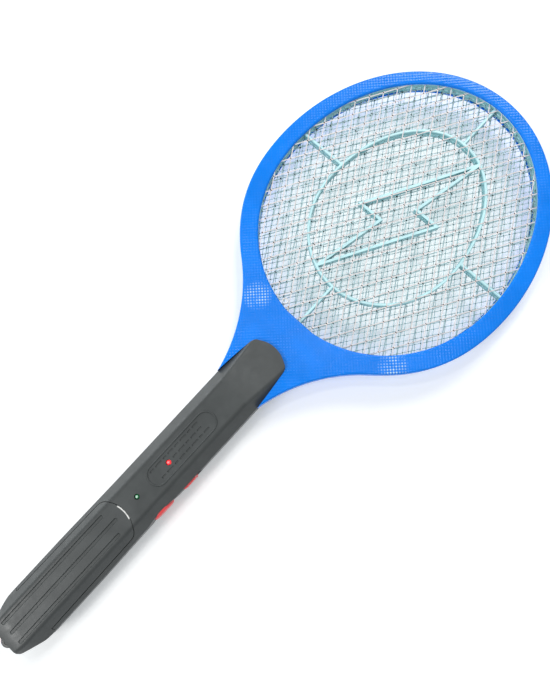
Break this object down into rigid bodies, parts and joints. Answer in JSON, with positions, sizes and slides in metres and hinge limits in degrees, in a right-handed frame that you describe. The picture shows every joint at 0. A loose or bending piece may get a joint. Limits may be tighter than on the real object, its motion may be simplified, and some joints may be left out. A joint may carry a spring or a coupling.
{
  "type": "electric fly swatter",
  "caption": "Handheld electric fly swatter: oval racket head with stacked wire grilles on a two-cell handle with a side push button and slide switch.",
  "frame": {"origin": "centre of the bounding box's underside, which is the flat back of the handle that the swatter lies on", "axes": "+X along the handle towards the tip of the head, +Y across, with the switches on the -Y side, +Z out of the front face"},
  "size_m": [0.4696, 0.1864, 0.0253],
  "materials": {
    "handle_plastic": "satin moulded dark grey",
    "head_plastic": "fine-textured bright blue",
    "spacer_plastic": "pale cyan moulded",
    "grille_metal": "satin",
    "button_plastic": "satin red",
    "screw_steel": "plated",
    "contact_steel": "nickel plated",
    "cell_sleeve": null,
    "board_laminate": "solder mask",
    "ferrite": "sintered",
    "winding_copper": "taped winding",
    "capacitor_epoxy": "dipped epoxy",
    "component_black": "moulded",
    "resistor_body": "lacquered",
    "green_lens": "tinted lens",
    "red_lens": "tinted lens",
    "wire_black": "insulation",
    "wire_red": "insulation",
    "wire_white": "insulation"
  },
  "bodies": {
    "handle": {"handle_front_shell": "handle_plastic", "handle_back_shell": "handle_plastic", "handle_screw_1": "screw_steel", "handle_screw_2": "screw_steel", "handle_screw_3": "screw_steel", "handle_screw_4": "screw_steel", "head_front_frame": "head_plastic", "head_back_frame": "head_plastic", "head_screw_1": "screw_steel", "head_screw_2": "screw_steel", "head_screw_3": "screw_steel", "head_screw_4": "screw_steel", "head_screw_5": "screw_steel", "head_screw_6": "screw_steel", "head_screw_7": "screw_steel", "head_screw_8": "screw_steel", "front_grille": "grille_metal", "middle_grille": "grille_metal", "back_grille": "grille_metal", "front_spacer": "spacer_plastic", "back_spacer": "spacer_plastic", "grille_eyelet": "contact_steel", "battery_cell_1": "cell_sleeve", "battery_cell_2": "cell_sleeve", "battery_spring": "contact_steel", "negative_contact": "contact_steel", "positive_contact": "contact_steel", "circuit_board": "board_laminate", "transformer_core": "ferrite", "transformer_winding": "winding_copper", "hv_capacitor": "capacitor_epoxy", "doubler_capacitor_1": "capacitor_epoxy", "doubler_capacitor_2": "capacitor_epoxy", "transistor": "component_black", "resistor_1": "resistor_body", "resistor_2": "resistor_body", "resistor_3": "resistor_body", "diode_1": "component_black", "diode_2": "component_black", "diode_3": "component_black", "green_led": "green_lens", "red_led": "red_lens", "tact_switch_body": "component_black", "slide_switch_body": "contact_steel", "negative_lead": "wire_black", "front_grille_lead": "wire_red", "middle_grille_lead": "wire_white", "back_grille_lead": "wire_red"},
    "battery_cover": {"battery_cover": "handle_plastic"},
    "push_button": {"push_button": "button_plastic"},
    "tact_plunger": {"tact_switch_plunger": "component_black"},
    "slide_knob": {"slide_switch_knob": "button_plastic", "slide_switch_actuator": "component_black"}
  },
  "joints": [
    {"name": "battery_cover_slide", "type": "slide", "parent": "handle", "child": "battery_cover", "axis": [-1, 0, 0], "range_m": [0, 0.112]},
    {"name": "push_button_press", "type": "slide", "parent": "handle", "child": "push_button", "axis": [0, 1, 0], "range_m": [0, 0.0015], "stiffness_N_per_m": 400},
    {"name": "tact_plunger_press", "type": "slide", "parent": "handle", "child": "tact_plunger", "axis": [0, 1, 0], "range_m": [0, 0.0005]},
    {"name": "slide_switch_move", "type": "slide", "parent": "handle", "child": "slide_knob", "axis": [1, 0, 0], "range_m": [0, 0.004]}
  ],
  "couplings": [
    {"joint": "tact_plunger_press", "follows": "push_button_press", "ratio": 0.33333}
  ]
}
